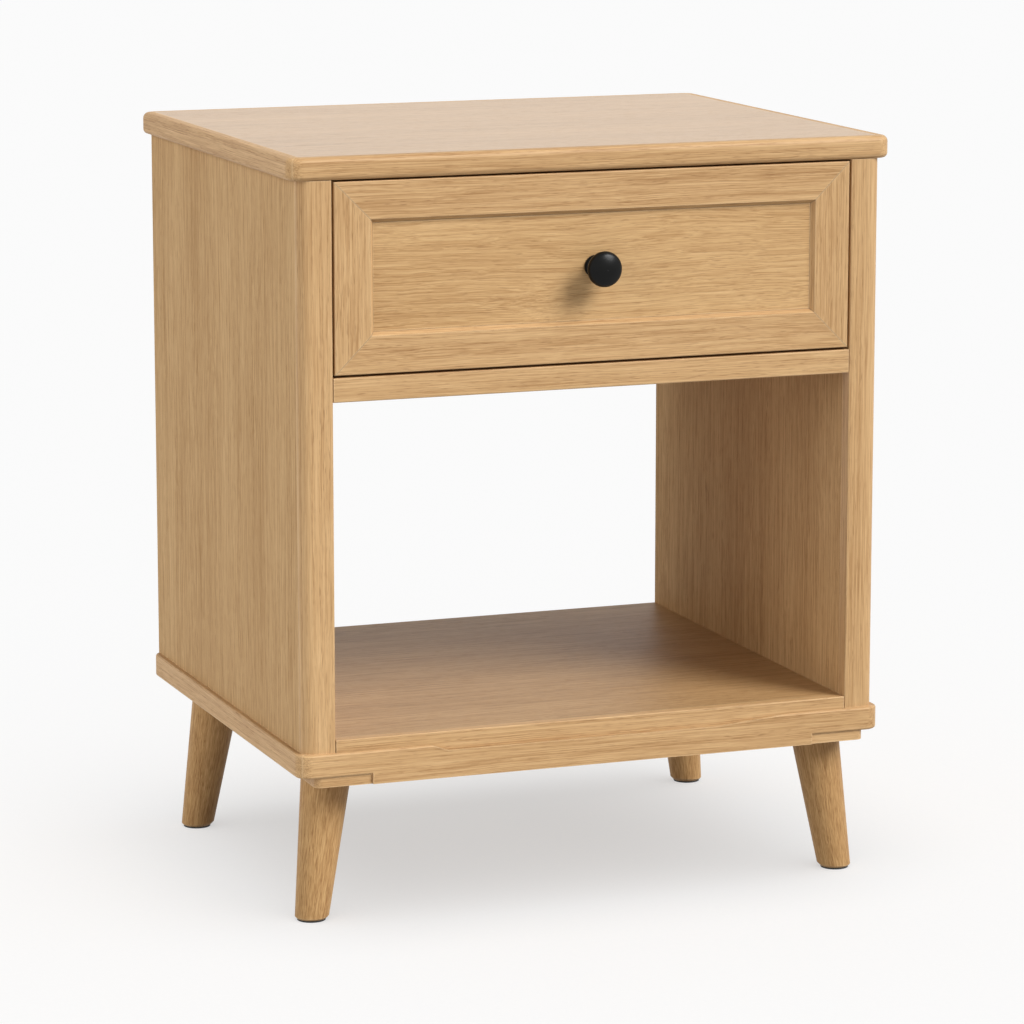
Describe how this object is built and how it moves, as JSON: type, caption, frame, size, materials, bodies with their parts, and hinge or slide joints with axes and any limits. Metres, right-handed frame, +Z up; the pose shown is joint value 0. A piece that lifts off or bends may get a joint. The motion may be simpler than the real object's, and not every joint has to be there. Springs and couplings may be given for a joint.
{
  "type": "nightstand",
  "caption": "Light oak nightstand: a framed drawer with a round black knob over an open shelf, on a projecting base frame with splayed tapered legs.",
  "frame": {"origin": "on the floor, at the centre of the overall footprint with the knob counted in", "axes": "+Z up, +Y from the drawer front to the back, +X to the right as seen from the front"},
  "size_m": [0.507, 0.433, 0.611],
  "materials": {
    "oak_veneer_top": "clear matt lacquer on straight-grained oak veneer",
    "oak_veneer_board": "clear matt lacquer on straight-grained oak veneer",
    "solid_oak": "clear matt lacquer on solid oak",
    "birch_plywood": "sanded and sealed",
    "beech": "raw",
    "zinc_plated_steel": "bright zinc plate",
    "cast_zinc": "die cast, plain",
    "black_powder_coat": "satin black powder coat",
    "black_nylon": "matt moulded"
  },
  "bodies": {
    "case": {"top_panel": "oak_veneer_top", "top_front_lipping": "solid_oak", "top_back_lipping": "solid_oak", "top_left_lipping": "solid_oak", "top_right_lipping": "solid_oak", "left_side_panel": "oak_veneer_board", "right_side_panel": "oak_veneer_board", "left_side_lipping": "solid_oak", "right_side_lipping": "solid_oak", "drawer_divider": "oak_veneer_board", "drawer_divider_lipping": "solid_oak", "bottom_shelf": "oak_veneer_board", "bottom_shelf_lipping": "solid_oak", "drawer_bay_back": "oak_veneer_board", "base_front_rail": "solid_oak", "base_back_rail": "solid_oak", "base_left_rail": "solid_oak", "base_right_rail": "solid_oak", "front_left_corner_block": "solid_oak", "front_right_corner_block": "solid_oak", "back_left_corner_block": "solid_oak", "back_right_corner_block": "solid_oak", "front_left_leg": "solid_oak", "front_right_leg": "solid_oak", "back_left_leg": "solid_oak", "back_right_leg": "solid_oak", "leg_glides": "black_nylon", "leg_bolts": "zinc_plated_steel", "leg_nuts": "zinc_plated_steel", "carcass_dowels": "beech", "cam_housings": "cast_zinc", "cam_bolts": "zinc_plated_steel", "base_screws": "zinc_plated_steel", "left_slide_outer": "zinc_plated_steel", "right_slide_outer": "zinc_plated_steel", "carcass_slide_screws": "zinc_plated_steel"},
    "drawer": {"left_slide_inner": "zinc_plated_steel", "right_slide_inner": "zinc_plated_steel", "drawer_slide_screws": "zinc_plated_steel", "drawer_front_top_rail": "solid_oak", "drawer_front_bottom_rail": "solid_oak", "drawer_front_left_stile": "solid_oak", "drawer_front_right_stile": "solid_oak", "drawer_front_panel": "oak_veneer_board", "drawer_inner_front": "birch_plywood", "drawer_left_side": "birch_plywood", "drawer_right_side": "birch_plywood", "drawer_back": "birch_plywood", "drawer_bottom": "birch_plywood", "drawer_box_dowels": "beech", "drawer_front_screws": "zinc_plated_steel", "knob": "black_powder_coat", "knob_screw": "zinc_plated_steel"},
    "left_slide_middle_member": {"left_slide_middle": "zinc_plated_steel"},
    "right_slide_middle_member": {"right_slide_middle": "zinc_plated_steel"}
  },
  "joints": [
    {"name": "drawer_slide", "type": "slide", "parent": "case", "child": "drawer", "axis": [0, -1, 0], "range_m": [0, 0.34]},
    {"name": "left_slide_middle_travel", "type": "slide", "parent": "case", "child": "left_slide_middle_member", "axis": [0, -1, 0], "range_m": [0, 0.17]},
    {"name": "right_slide_middle_travel", "type": "slide", "parent": "case", "child": "right_slide_middle_member", "axis": [0, -1, 0], "range_m": [0, 0.17]}
  ],
  "couplings": [
    {"joint": "left_slide_middle_travel", "follows": "drawer_slide", "ratio": 0.5},
    {"joint": "right_slide_middle_travel", "follows": "drawer_slide", "ratio": 0.5}
  ]
}
